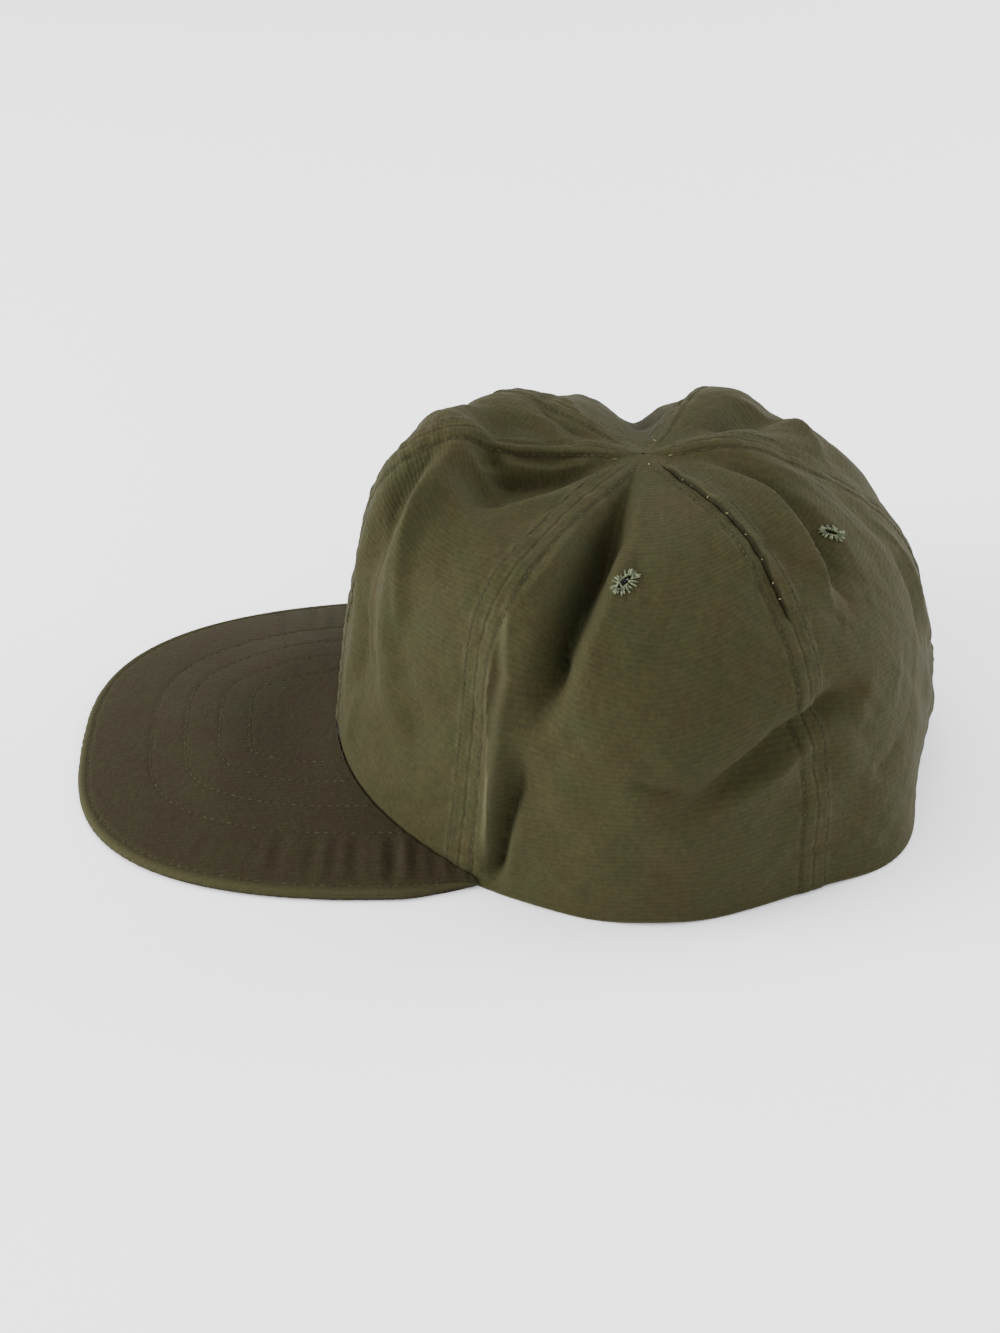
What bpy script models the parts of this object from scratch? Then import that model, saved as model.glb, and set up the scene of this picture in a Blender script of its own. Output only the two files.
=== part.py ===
"""A soft six-panel field cap with a stitched visor, resting on its rim.

The front of the cap looks towards -Y and the wearer's left is +X. The origin is the middle of the head
opening, on the plane that the rim rests on. Lengths are in metres and azimuths in degrees, from the front
round to the wearer's left.
"""
from collections import namedtuple

import bmesh
import bpy
import numpy as np
from mathutils import Matrix, Vector
from mathutils.bvhtree import BVHTree

# The rim, an oval whose power sets how square it is, and the crown that stands on it
RIM_FRONT = 0.096
RIM_BACK = 0.091
RIM_SIDE = 0.091
RIM_POWER = 1.95
CROWN_HEIGHT = 0.100
CLOTH = 0.0012

# The apex, where the six panels meet
APEX_UP = 0.97
APEX_SHIFT = -0.003
TIP_UP = 0.996
APEX_UPRIGHT_FROM = 0.85

# The seams, with the slot that keeps neighbouring pieces apart
SEAM_FRONT = 48.3
SEAM_BACK = 115.0
GAP = 0.0003

# The visor: its span round the rim to each side, how far its corners stand out from the rim and its tip in
# front of it, and how high the rim arches over it
VISOR_SPAN = 53.0
VISOR_FLARE = 0.0045
VISOR_REACH = 0.077
VISOR_POWER = 2.8
VISOR_RISE = 0.009
VISOR_THICKNESS = 0.003
VISOR_SLOPE_POWER = 1.2

# The worked eyelets
EYELET_DIAMETER = 0.008
EYELET_BORE = 0.0025
EYELET_HEIGHT = 0.0012

# How finely the faces are cut: across each panel, up each panel, along and across the visor
PANEL_ROWS = 18
COLUMN_WIDTH = 3.2
VISOR_COLUMNS = 30
VISOR_ROWS = 7
RING_SIDES = 12
RING_PROFILE_SIDES = 6

# One row for each section through the crown, by azimuth. Outs are shares of the rim's radius in that
# direction, ups are shares of the crown's height.
Section = namedtuple("Section", "azimuth foot_out wall_out wall_up shoulder_out shoulder_up crest_out crest_up")
SECTIONS = [
    Section(-150, 0.99, 0.97, 0.36, 0.80, 0.77, 0.51, 0.98),
    Section(-130, 1.00, 0.96, 0.38, 0.80, 0.78, 0.51, 0.97),
    Section(-112, 1.00, 0.96, 0.40, 0.79, 0.76, 0.50, 0.92),
    Section(-83, 1.00, 0.97, 0.38, 0.84, 0.73, 0.52, 0.91),
    Section(-49, 1.00, 0.94, 0.36, 0.775, 0.83, 0.53, 0.995),
    Section(-25, 1.00, 0.92, 0.44, 0.765, 0.86, 0.53, 1.04),
    Section(0, 0.98, 0.92, 0.50, 0.78, 0.96, 0.54, 1.08),
    Section(23, 1.00, 0.93, 0.44, 0.81, 0.85, 0.54, 0.96),
    Section(49, 0.99, 0.92, 0.34, 0.79, 0.83, 0.46, 0.945),
    Section(82, 1.02, 0.98, 0.38, 0.86, 0.72, 0.52, 0.93),
    Section(115, 0.99, 0.94, 0.42, 0.78, 0.78, 0.48, 0.96),
    Section(134, 1.05, 0.96, 0.36, 0.80, 0.74, 0.48, 0.96),
    Section(155, 0.96, 0.94, 0.34, 0.78, 0.74, 0.44, 0.96),
    Section(180, 0.97, 0.97, 0.26, 0.77, 0.74, 0.33, 0.995),
]

# Where on the way from the rim to the apex the sections' foot, wall, shoulder and crest lie
LEVELS = np.array([0.0, 0.30, 0.60, 0.80, 1.0])

# One row for each dent or fold: from one place to another on the crown, by azimuth and share of the way up,
# with its middle pulled round by some degrees. Widths and depths are shares of the crown's height, and a
# depth below 0 is a ridge.
Fold = namedtuple("Fold", "name azimuth_a up_a azimuth_b up_b pull width depth")
FOLDS = [
    Fold("top_valley", 0, 1.00, 3, 0.82, 0, 0.070, 0.040),
    Fold("top_hollow_left", 20, 0.98, 22, 0.74, 0, 0.105, 0.088),
    Fold("top_hollow_ridge", 18, 0.73, 40, 0.98, 4, 0.055, -0.035),
    Fold("top_crease_left", 2, 0.78, 12, 0.94, 2, 0.045, 0.028),
    Fold("top_hollow_right", -18, 0.98, -17, 0.76, 0, 0.100, 0.060),
    Fold("front_ridge_left", 1, 0.84, 26, 0.26, 8, 0.050, -0.042),
    Fold("front_valley_left", 0, 0.82, 16, 0.42, 4, 0.045, 0.038),
    Fold("front_ridge_inner", 4, 0.68, 13, 0.02, 3, 0.050, -0.022),
    Fold("front_ridge_right", -5, 0.84, -27, 0.30, -6, 0.055, -0.025),
    Fold("front_valley_right", -13, 0.76, -17, 0.15, -2, 0.050, 0.022),
    Fold("side_valley_left", 65, 1.00, 60, 0.38, 3, 0.047, 0.100),
    Fold("side_valley_right", -97, 1.00, -88, 0.42, 0, 0.080, 0.078),
    Fold("seam_ridge_left", 50.5, 0.62, 53, 0.02, 2.5, 0.045, -0.034),
    Fold("seam_tuck_left", 59, 0.42, 53.5, -0.12, 0, 0.030, 0.040),
    Fold("seam_tuck_right", -57, 0.54, -56, -0.12, 0, 0.045, 0.032),
    Fold("side_crease_left", 132, 0.48, 84, 0.24, 0, 0.048, 0.042),
    Fold("side_crease_right", -127, 0.44, -89, 0.30, 0, 0.050, 0.030),
    Fold("back_ridge_left", 154, 0.96, 126, 0.60, -6, 0.052, -0.030),
    Fold("back_hollow_left", 161, 0.93, 134, 0.62, -4, 0.062, 0.050),
    Fold("back_ridge_right", -122, 0.97, -121, 0.66, 0, 0.080, -0.030),
    Fold("back_hollow_right", -155, 0.96, -137, 0.60, 0, 0.080, 0.060),
]
FOLD_STEPS = np.linspace(0, 1, 25)
FOLD_FADE = 0.3
FOLD_RIM_FADE = 0.10
FOLD_FULL_WIDTH_OUT = 0.45
FOLD_LEAST_WIDTH = 0.15

# The panels between the seams, named for the wearer's side
Panel = namedtuple("Panel", "name azimuth_a azimuth_b")
PANELS = [
    Panel("crown_front_left", 0.0, SEAM_FRONT),
    Panel("crown_side_left", SEAM_FRONT, SEAM_BACK),
    Panel("crown_back_left", SEAM_BACK, 180.0),
    Panel("crown_front_right", -SEAM_FRONT, 0.0),
    Panel("crown_side_right", -SEAM_BACK, -SEAM_FRONT),
    Panel("crown_back_right", -180.0, -SEAM_BACK),
]

# The eyelets, each on a panel, by azimuth and share of the way up
Eyelet = namedtuple("Eyelet", "name panel azimuth up")
EYELETS = [
    Eyelet("eyelet_side_left", "crown_side_left", 76.0, 0.74),
    Eyelet("eyelet_back_left", "crown_back_left", 147.0, 0.71),
    Eyelet("eyelet_side_right", "crown_side_right", -77.0, 0.70),
    Eyelet("eyelet_back_right", "crown_back_right", -147.0, 0.71),
]

# Small steps along the crown for its slope, in degrees and shares of the way up
AZIMUTH_STEP = 1.5
UP_STEP = 0.008


def smooth_step(x):
    """From 0 to 1 with flat ends."""
    x = np.clip(x, 0, 1)
    return x * x * (3 - 2 * x)


def smooth_curve(x, knots, values):
    """The value at x of a smooth curve through values at the knots. Values may differ from place to place."""
    slopes = np.gradient(values, knots, axis=-1)
    i = np.clip(np.searchsorted(knots, x, side="right") - 1, 0, len(knots) - 2)
    step = knots[i + 1] - knots[i]
    u = (x - knots[i]) / step

    def pick(table, k):
        return np.take_along_axis(table, k[..., None], -1)[..., 0]

    return ((1 + 2 * u) * (1 - u) ** 2 * pick(values, i) + u * (1 - u) ** 2 * step * pick(slopes, i)
            + u * u * (3 - 2 * u) * pick(values, i + 1) + u * u * (u - 1) * step * pick(slopes, i + 1))


def section_at(azimuth):
    """The columns of the sections' table at any azimuth, going round the crown."""
    rows = np.array(SECTIONS, float)
    turn = np.zeros_like(rows)
    turn[:, 0] = 360
    rows = np.vstack([rows - turn, rows, rows + turn])
    knots = rows[:, 0]
    columns = [smooth_curve(azimuth, knots, np.broadcast_to(column, azimuth.shape + knots.shape))
               for column in rows[:, 1:].T]
    return Section(azimuth, *columns)


def rim_radius(azimuth):
    """The rim's outer radius at an azimuth."""
    a = np.radians(azimuth)
    along = np.where(np.cos(a) > 0, RIM_FRONT, RIM_BACK)
    across_share = (np.abs(np.sin(a)) / RIM_SIDE) ** RIM_POWER
    along_share = (np.abs(np.cos(a)) / along) ** RIM_POWER
    return (across_share + along_share) ** (-1 / RIM_POWER)


def foot_height(azimuth):
    """The rim lies flat, but rises over the visor's arch at the front."""
    x = rim_radius(azimuth) * np.sin(np.radians(azimuth))
    corner = rim_radius(np.array(VISOR_SPAN)) * np.sin(np.radians(VISOR_SPAN))
    arch = VISOR_RISE * np.clip(1 - (x / corner) ** 2, 0, 1)
    return np.where(np.abs(azimuth) < VISOR_SPAN, arch, 0.0)


def smooth_crown(azimuth, up):
    """A place on the crown's outside before it is folded."""
    azimuth, up = np.broadcast_arrays(np.asarray(azimuth, float), np.asarray(up, float))
    s = section_at(azimuth)
    zero = np.zeros_like(azimuth)
    outs = np.stack([s.foot_out, s.wall_out, s.shoulder_out, s.crest_out, zero], -1)
    foot_up = foot_height(azimuth) / CROWN_HEIGHT
    ups = np.stack([foot_up, s.wall_up, s.shoulder_up, s.crest_up, zero + APEX_UP], -1)
    out = smooth_curve(up, LEVELS, outs)
    radius = rim_radius(azimuth) * out
    a = np.radians(azimuth)
    x = radius * np.sin(a)
    y = -radius * np.cos(a) + APEX_SHIFT * (1 - out)
    return np.stack([x, y, smooth_curve(up, LEVELS, ups) * CROWN_HEIGHT], -1)


def slope_normal(surface, azimuth, up):
    """The outward direction of a surface over azimuth and up, by small steps along it."""
    azimuth, up = np.broadcast_arrays(np.asarray(azimuth, float), np.asarray(up, float))
    higher = surface(azimuth, np.minimum(up + UP_STEP, 1 - UP_STEP))
    lower = surface(azimuth, np.clip(up - UP_STEP, 0, 1 - 2 * UP_STEP))
    level = np.minimum(up, TIP_UP)
    onward = surface(azimuth + AZIMUTH_STEP, level)
    back = surface(azimuth - AZIMUTH_STEP, level)
    normal = np.cross(onward - back, higher - lower)
    return normal / np.linalg.norm(normal, axis=-1, keepdims=True)


def fold_depth(points, up):
    """How far the folds push each place inwards. They narrow towards the apex and die out at the rim."""
    total = np.zeros(points.shape[:-1])
    for fold in FOLDS:
        azimuths = fold.azimuth_a + (fold.azimuth_b - fold.azimuth_a) * FOLD_STEPS
        azimuths += fold.pull * 4 * FOLD_STEPS * (1 - FOLD_STEPS)
        ups = fold.up_a + (fold.up_b - fold.up_a) * FOLD_STEPS
        path = smooth_crown(azimuths, np.clip(ups, 0, 1))
        start, run = path[:-1], np.diff(path, axis=0)
        away = points[..., None, :] - start
        share = np.clip((away * run).sum(-1) / np.maximum((run * run).sum(-1), 1e-12), 0, 1)
        distances = np.linalg.norm(away - share[..., None] * run, axis=-1)
        nearest = distances.argmin(-1)[..., None]
        distance = np.take_along_axis(distances, nearest, -1)[..., 0]
        place = (nearest[..., 0] + np.take_along_axis(share, nearest, -1)[..., 0]) / len(run)
        path_out = np.hypot(path[:, 0], path[:, 1] - APEX_SHIFT) / (FOLD_FULL_WIDTH_OUT * RIM_SIDE)
        narrow = np.clip(np.interp(place, FOLD_STEPS, path_out), FOLD_LEAST_WIDTH, 1)
        fade = smooth_step(np.minimum(place, 1 - place) / FOLD_FADE)
        width = fold.width * narrow * CROWN_HEIGHT
        total += fold.depth * narrow * fade * np.exp(-(distance / width) ** 2)
    return total * CROWN_HEIGHT * smooth_step(up / FOLD_RIM_FADE)


def folded_crown(azimuth, up):
    """A place on the crown's outside, folds and all."""
    points = smooth_crown(azimuth, up)
    inward = -slope_normal(smooth_crown, azimuth, up)
    return points + inward * fold_depth(points, up)[..., None]


def crown_place(azimuth, facing, up, skin):
    """A place in the crown's cloth: skin 0 is its inside and 1 its outside. The wall goes inwards along the
    slope at the azimuth facing, which both panels at a seam share, level at the rim and upright at the apex."""
    outside = folded_crown(azimuth, up)
    normal = slope_normal(folded_crown, facing, up)
    normal[up <= 0, 2] = 0
    upright = smooth_step((up - APEX_UPRIGHT_FROM) / (TIP_UP - APEX_UPRIGHT_FROM))[..., None]
    normal = normal * (1 - upright) + np.array([0, 0, 1]) * upright
    normal /= np.linalg.norm(normal, axis=-1, keepdims=True)
    return outside - normal * CLOTH * (1 - skin)[..., None]


def visor_place(across, outward, skin):
    """A place in the visor: across from -1 to 1, outward from the crown to the edge, skin 0 underneath."""
    azimuth = VISOR_SPAN * across
    root = smooth_crown(azimuth, 0 * azimuth)
    root *= 1 + GAP / np.hypot(root[..., 0], root[..., 1])[..., None]
    corner = smooth_crown(np.array(VISOR_SPAN), np.array(0.0))
    turn = np.radians(90 * across)
    half_width = corner[0] + VISOR_FLARE
    reach = RIM_FRONT + VISOR_REACH + corner[1]
    edge_x = half_width * np.sign(turn) * np.abs(np.sin(turn)) ** (2 / VISOR_POWER)
    edge_y = corner[1] - reach * np.abs(np.cos(turn)) ** (2 / VISOR_POWER)
    x = root[..., 0] + (edge_x - root[..., 0]) * outward
    y = root[..., 1] + (edge_y - root[..., 1]) * outward
    z = foot_height(azimuth) * (1 - outward ** VISOR_SLOPE_POWER) + VISOR_THICKNESS * skin
    return np.stack([x, y, z], -1)


def clear_scene():
    """Removes the objects that a new file opens with."""
    for existing in list(bpy.data.objects):
        bpy.data.objects.remove(existing, do_unlink=True)


def new_collection(name):
    """A collection in the scene."""
    collection = bpy.data.collections.new(name)
    bpy.context.scene.collection.children.link(collection)
    return collection


def new_material(name, colour, roughness):
    """A cloth or thread finish."""
    material = bpy.data.materials.new(name)
    material.use_nodes = True
    shader = material.node_tree.nodes["Principled BSDF"]
    shader.inputs["Base Color"].default_value = (*colour, 1)
    shader.inputs["Roughness"].default_value = roughness
    shader.inputs["Metallic"].default_value = 0.0
    return material


def new_object(name, mesh, material, collection):
    """An object in a collection, with its own material."""
    made = bpy.data.objects.new(name, mesh)
    made.data.materials.append(material)
    collection.objects.link(made)
    return made


def cloth_slab(name, columns, rows, place):
    """A closed sheet of cloth: a flat slab, set in place by a function of its shares across, up and outwards."""
    mesh = bmesh.new()
    bmesh.ops.create_grid(mesh, x_segments=columns, y_segments=rows, size=0.5)
    skin = bmesh.ops.extrude_face_region(mesh, geom=mesh.faces[:], use_keep_orig=True)["geom"]
    bmesh.ops.translate(mesh, vec=(0, 0, 1), verts=[part for part in skin if isinstance(part, bmesh.types.BMVert)])
    bmesh.ops.recalc_face_normals(mesh, faces=mesh.faces[:])
    shares = np.array([vertex.co for vertex in mesh.verts], float)
    places = place(shares[:, 0] + 0.5, shares[:, 1] + 0.5, shares[:, 2])
    for vertex, point in zip(mesh.verts, places):
        vertex.co = point
    data = bpy.data.meshes.new(name)
    mesh.to_mesh(data)
    mesh.free()
    data.shade_smooth()
    data.set_sharp_from_angle(angle=np.radians(50))
    return data


def crown_panel(panel, collection):
    """One of the six gores, from the rim to the apex, half a slot short of the seam on each side."""
    def place(across, upward, skin):
        up = upward * TIP_UP
        slot_a = slot_turn(panel.azimuth_a, up)
        slot_b = slot_turn(panel.azimuth_b, up)
        facing = panel.azimuth_a + (panel.azimuth_b - panel.azimuth_a) * across
        azimuth = facing + slot_a * (1 - across) - slot_b * across
        return crown_place(azimuth, facing, up, skin)

    columns = round((panel.azimuth_b - panel.azimuth_a) / COLUMN_WIDTH)
    cloth = new_material(panel.name + "_cloth", (0.088, 0.076, 0.033), 0.85)
    return new_object(panel.name, cloth_slab(panel.name, columns, PANEL_ROWS, place), cloth, collection)


def slot_turn(azimuth, up):
    """Half the slot at a seam, as degrees round the crown's axis at that height."""
    seam = smooth_crown(azimuth, up)
    radius = np.hypot(seam[..., 0], seam[..., 1] - APEX_SHIFT)
    return np.degrees(GAP / 2 / radius)


def visor(collection):
    """The stitched visor, sewn to the rim at the front."""
    def place(across, outward, skin):
        return visor_place(1 - 2 * across, outward, skin)

    cloth = new_material("visor_cloth", (0.080, 0.066, 0.034), 0.85)
    return new_object("visor", cloth_slab("visor", VISOR_COLUMNS, VISOR_ROWS, place), cloth, collection)


def eyelet_seat(eyelet, panel):
    """Where an eyelet sits: turned to the cloth there, and lifted so that its ring clears the whole cloth."""
    spot = Vector(folded_crown(np.array(eyelet.azimuth), np.array(eyelet.up)))
    outward = Vector(slope_normal(smooth_crown, np.array(eyelet.azimuth), np.array(eyelet.up)))
    cloth = bmesh.new()
    cloth.from_mesh(panel.data)
    tree = BVHTree.FromBMesh(cloth)
    cloth.free()
    far_out = EYELET_DIAMETER
    turned = outward.to_track_quat("Z", "Y")
    highest = -far_out
    for radius in (EYELET_BORE / 2, EYELET_DIAMETER / 4, EYELET_DIAMETER / 2):
        for turn in np.linspace(0, 2 * np.pi, RING_SIDES, endpoint=False):
            aside = turned @ Vector((radius * np.cos(turn), radius * np.sin(turn), 0))
            hit = tree.ray_cast(spot + aside + outward * far_out, -outward)
            highest = max(highest, far_out - hit[3])
    return Matrix.Translation(spot + outward * (highest + GAP + EYELET_HEIGHT / 2)) @ turned.to_matrix().to_4x4()


def worked_eyelet(eyelet, panel, collection, cutters):
    """A ring of thread on the cloth, and the hole that it binds, cut through the panel."""
    seat = eyelet_seat(eyelet, panel)
    tube = (EYELET_DIAMETER - EYELET_BORE) / 4
    bpy.ops.mesh.primitive_torus_add(major_segments=RING_SIDES, minor_segments=RING_PROFILE_SIDES,
                                     major_radius=EYELET_BORE / 2 + tube, minor_radius=tube)
    ring = bpy.context.object
    ring.name = eyelet.name
    ring.data.name = eyelet.name
    ring.data.transform(Matrix.Diagonal((1, 1, EYELET_HEIGHT / (2 * tube * np.sin(np.pi / 3)), 1)))
    ring.matrix_world = seat
    ring.data.shade_smooth()
    ring.data.materials.append(new_material(eyelet.name + "_thread", (0.22, 0.27, 0.16), 0.7))
    move_to(ring, collection)

    bpy.ops.mesh.primitive_cylinder_add(vertices=RING_SIDES, radius=EYELET_BORE / 2, depth=EYELET_DIAMETER)
    cutter = bpy.context.object
    cutter.name = eyelet.name + "_hole"
    cutter.matrix_world = seat
    cutter.hide_render = True
    cutter.display_type = "WIRE"
    move_to(cutter, cutters)
    hole = panel.modifiers.new("hole", "BOOLEAN")
    hole.operation = "DIFFERENCE"
    hole.object = cutter
    return ring


def move_to(made, collection):
    """Moves an object that an operator made into a collection."""
    for holder in list(made.users_collection):
        holder.objects.unlink(made)
    collection.objects.link(made)


def build_cap():
    """The whole cap."""
    clear_scene()
    cap = new_collection("field_cap")
    cutters = new_collection("cutters")
    panels = {panel.name: crown_panel(panel, cap) for panel in PANELS}
    visor(cap)
    for eyelet in EYELETS:
        worked_eyelet(eyelet, panels[eyelet.panel], cap, cutters)


build_cap()
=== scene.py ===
"""A soft olive field cap that stands on its rim on a pale table, seen from the wearer's left.

The cap's front looks towards -Y, the wearer's left is +X and the rim stands on z = 0. Lengths are in
metres, and azimuths in degrees from the front round to the wearer's left.
"""

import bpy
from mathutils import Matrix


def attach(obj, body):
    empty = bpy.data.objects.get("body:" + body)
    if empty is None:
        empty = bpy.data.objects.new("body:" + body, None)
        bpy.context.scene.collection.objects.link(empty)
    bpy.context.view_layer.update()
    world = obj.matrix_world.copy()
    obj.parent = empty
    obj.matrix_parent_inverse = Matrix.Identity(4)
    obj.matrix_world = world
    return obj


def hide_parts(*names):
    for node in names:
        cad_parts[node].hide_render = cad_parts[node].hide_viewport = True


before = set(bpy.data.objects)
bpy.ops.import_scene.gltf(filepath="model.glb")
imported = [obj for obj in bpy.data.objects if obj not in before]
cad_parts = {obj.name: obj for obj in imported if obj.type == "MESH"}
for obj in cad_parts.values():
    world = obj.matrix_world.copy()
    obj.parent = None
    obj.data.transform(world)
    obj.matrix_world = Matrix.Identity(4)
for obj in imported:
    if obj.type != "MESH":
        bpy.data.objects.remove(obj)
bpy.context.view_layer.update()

from collections import namedtuple

import bmesh
import bpy
import numpy as np
from mathutils import Matrix, Vector
from mathutils.bvhtree import BVHTree

# The crown's form: six gores of soft cotton, sewn edge to edge from the rim to the apex. The empty crown
# has sunk on top and crumpled at the sides, so one smooth form is dented and folded, and every gore follows
# it. The rim is an oval of three radii, and it lifts off the table at the front, over the visor's arch.
RIM_FRONT = 0.096
RIM_BACK = 0.091
RIM_SIDE = 0.091
RIM_POWER = 1.95
CROWN_HEIGHT = 0.100
APEX_UP = 0.97
APEX_SHIFT = -0.003
SEAM_FRONT = 48.3
SEAM_BACK = 115.0
VISOR_SPAN = 53.0
VISOR_RISE = 0.009

# One row for each section through the crown. Outs are shares of the rim's radius, ups of its height.
Section = namedtuple(
    "Section", "azimuth foot_out wall_out wall_up shoulder_out shoulder_up crest_out crest_up")
SECTIONS = [
    Section(-150, 0.99, 0.97, 0.36, 0.80, 0.77, 0.51, 0.98),
    Section(-130, 1.00, 0.96, 0.38, 0.80, 0.78, 0.51, 0.97),
    Section(-112, 1.00, 0.96, 0.40, 0.79, 0.76, 0.50, 0.92),
    Section(-83, 1.00, 0.97, 0.38, 0.84, 0.73, 0.52, 0.91),
    Section(-49, 1.00, 0.94, 0.36, 0.775, 0.83, 0.53, 0.995),
    Section(-25, 1.00, 0.92, 0.44, 0.765, 0.86, 0.53, 1.04),
    Section(0, 0.98, 0.92, 0.50, 0.78, 0.96, 0.54, 1.08),
    Section(23, 1.00, 0.93, 0.44, 0.81, 0.85, 0.54, 0.96),
    Section(49, 0.99, 0.92, 0.34, 0.79, 0.83, 0.46, 0.945),
    Section(82, 1.02, 0.98, 0.38, 0.86, 0.72, 0.52, 0.93),
    Section(115, 0.99, 0.94, 0.42, 0.78, 0.78, 0.48, 0.96),
    Section(134, 1.05, 0.96, 0.36, 0.80, 0.74, 0.48, 0.96),
    Section(155, 0.96, 0.94, 0.34, 0.78, 0.74, 0.44, 0.96),
    Section(180, 0.97, 0.97, 0.26, 0.77, 0.74, 0.33, 0.995),
]
# How far up the cloth the foot, wall, shoulder, crest and apex lie
LEVELS = np.array([0.0, 0.30, 0.60, 0.80, 1.0])

# One row for each dent or fold, between two places on the crown by azimuth and share of the way up. The pull
# bends its path by so many degrees at the middle. Widths and depths are shares of the crown's height, and a
# depth below 0 is a ridge.
Fold = namedtuple("Fold", "name azimuth_a up_a azimuth_b up_b pull width depth")
FOLDS = [
    Fold("top_valley", 0, 1.00, 3, 0.82, 0, 0.070, 0.040),
    Fold("top_hollow_left", 20, 0.98, 22, 0.74, 0, 0.105, 0.088),
    Fold("top_hollow_ridge", 18, 0.73, 40, 0.98, 4, 0.055, -0.035),
    Fold("top_crease_left", 2, 0.78, 12, 0.94, 2, 0.045, 0.028),
    Fold("top_hollow_right", -18, 0.98, -17, 0.76, 0, 0.100, 0.060),
    Fold("front_ridge_left", 1, 0.84, 26, 0.26, 8, 0.050, -0.042),
    Fold("front_valley_left", 0, 0.82, 16, 0.42, 4, 0.045, 0.038),
    Fold("front_ridge_inner", 4, 0.68, 13, 0.02, 3, 0.050, -0.022),
    Fold("front_ridge_right", -5, 0.84, -27, 0.30, -6, 0.055, -0.025),
    Fold("front_valley_right", -13, 0.76, -17, 0.15, -2, 0.050, 0.022),
    Fold("side_valley_left", 65, 1.00, 60, 0.38, 3, 0.047, 0.100),
    Fold("side_valley_right", -97, 1.00, -88, 0.42, 0, 0.080, 0.078),
    Fold("seam_ridge_left", 50.5, 0.62, 53, 0.02, 2.5, 0.045, -0.034),
    Fold("seam_tuck_left", 59, 0.42, 53.5, -0.12, 0, 0.030, 0.040),
    Fold("seam_tuck_right", -57, 0.54, -56, -0.12, 0, 0.045, 0.032),
    Fold("side_crease_left", 132, 0.48, 84, 0.24, 0, 0.048, 0.042),
    Fold("side_crease_right", -127, 0.44, -89, 0.30, 0, 0.050, 0.030),
    Fold("back_ridge_left", 154, 0.96, 126, 0.60, -6, 0.052, -0.030),
    Fold("back_hollow_left", 161, 0.93, 134, 0.62, -4, 0.062, 0.050),
    Fold("back_ridge_right", -122, 0.97, -121, 0.66, 0, 0.080, -0.030),
    Fold("back_hollow_right", -155, 0.96, -137, 0.60, 0, 0.080, 0.060),
]

# Sharper creases that crumpled cloth keeps, laid over the folds in the same way
CREASES = [
    Fold("apex_crease_front", 4, 0.85, 11, 0.95, 2, 0.024, 0.024),
    Fold("apex_ridge_front", 9, 0.84, 17, 0.95, 2, 0.022, -0.018),
    Fold("apex_crease_left", 14, 0.82, 25, 0.95, 1, 0.026, 0.030),
    Fold("apex_ridge_left", 22, 0.80, 33, 0.95, 1, 0.022, -0.014),
    Fold("front_pocket", -8, 0.95, -6, 0.80, 0, 0.060, 0.055),
    Fold("front_pocket_edge", -34, 0.87, -6, 0.95, 0, 0.030, -0.024),
    Fold("hollow_spot", 8, 0.85, 12, 0.81, 0, 0.036, 0.026),
    Fold("hollow_lip", 24, 0.76, 38, 0.86, -2, 0.026, -0.018),
    Fold("apex_crease_right", -44, 0.84, -22, 0.96, 0, 0.034, 0.026),
    Fold("apex_ridge_right", -56, 0.84, -40, 0.96, 0, 0.030, -0.018),
    Fold("front_crease_left", 3, 0.74, 24, 0.44, 4, 0.026, 0.022),
    Fold("front_edge_left", 7, 0.74, 29, 0.42, 6, 0.022, -0.022),
    Fold("front_ripple_left", 8, 0.62, 19, 0.30, 4, 0.024, -0.018),
    Fold("front_ripple_low", 18, 0.26, 15, 0.06, 0, 0.026, -0.014),
    Fold("front_dip_inner", 16, 0.48, 17, 0.22, 0, 0.024, 0.014),
    Fold("front_dip_low", 32, 0.34, 38, 0.14, 0, 0.050, 0.014),
    Fold("side_valley_core", 66, 0.97, 59.5, 0.41, 3, 0.032, 0.052),
    Fold("side_valley_lip", 74, 0.84, 66, 0.52, 2, 0.040, -0.016),
    Fold("side_valley_edge", 58, 0.92, 53, 0.60, 1, 0.026, -0.014),
    Fold("tuck_edge_left", 50.5, 0.62, 53.5, 0.02, 2.6, 0.018, -0.024),
    Fold("tuck_line_left", 57.5, 0.38, 54.5, -0.10, 0, 0.018, 0.026),
    Fold("tuck_fold_left", 61, 0.34, 58, 0.02, 0, 0.026, -0.012),
    Fold("tuck_line_right", -57, 0.34, -55, -0.10, 0, 0.020, 0.022),
    Fold("side_crease_line", 128, 0.46, 88, 0.29, 0, 0.024, 0.022),
    Fold("side_crease_lip", 118, 0.35, 90, 0.24, 0, 0.026, -0.022),
    Fold("side_crease_small", 79, 0.37, 91, 0.31, 0, 0.020, 0.016),
    Fold("side_dip_soft", 98, 0.64, 93, 0.46, 0, 0.060, 0.018),
    Fold("side_ripple_low", 74, 0.20, 92, 0.10, 0, 0.040, 0.008),
    Fold("back_edge_left", 146, 0.90, 128, 0.60, -4, 0.022, -0.020),
    Fold("back_line_left", 143, 0.84, 133, 0.58, -2, 0.028, 0.020),
    Fold("back_ridge_far", -128, 0.84, -176, 0.68, 0, 0.036, -0.020),
    Fold("back_valley_far", -140, 0.93, -172, 0.76, 0, 0.040, 0.020),
    Fold("back_ripple_a", 171, 0.66, 162, 0.44, 0, 0.028, -0.016),
    Fold("back_ripple_b", 164, 0.62, 156, 0.40, 0, 0.028, 0.016),
    Fold("back_ripple_c", -170, 0.62, -163, 0.36, 0, 0.034, 0.018),
    Fold("back_dimple_low", 140, 0.30, 128, 0.24, 0, 0.030, 0.012),
    Fold("side_crease_far", -118, 0.30, -84, 0.20, 0, 0.034, 0.018),
    Fold("far_dip_soft", -75, 0.58, -70, 0.30, 0, 0.060, 0.018),
    Fold("far_crease_high", -66, 0.86, -62, 0.50, 2, 0.036, 0.022),
]
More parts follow.
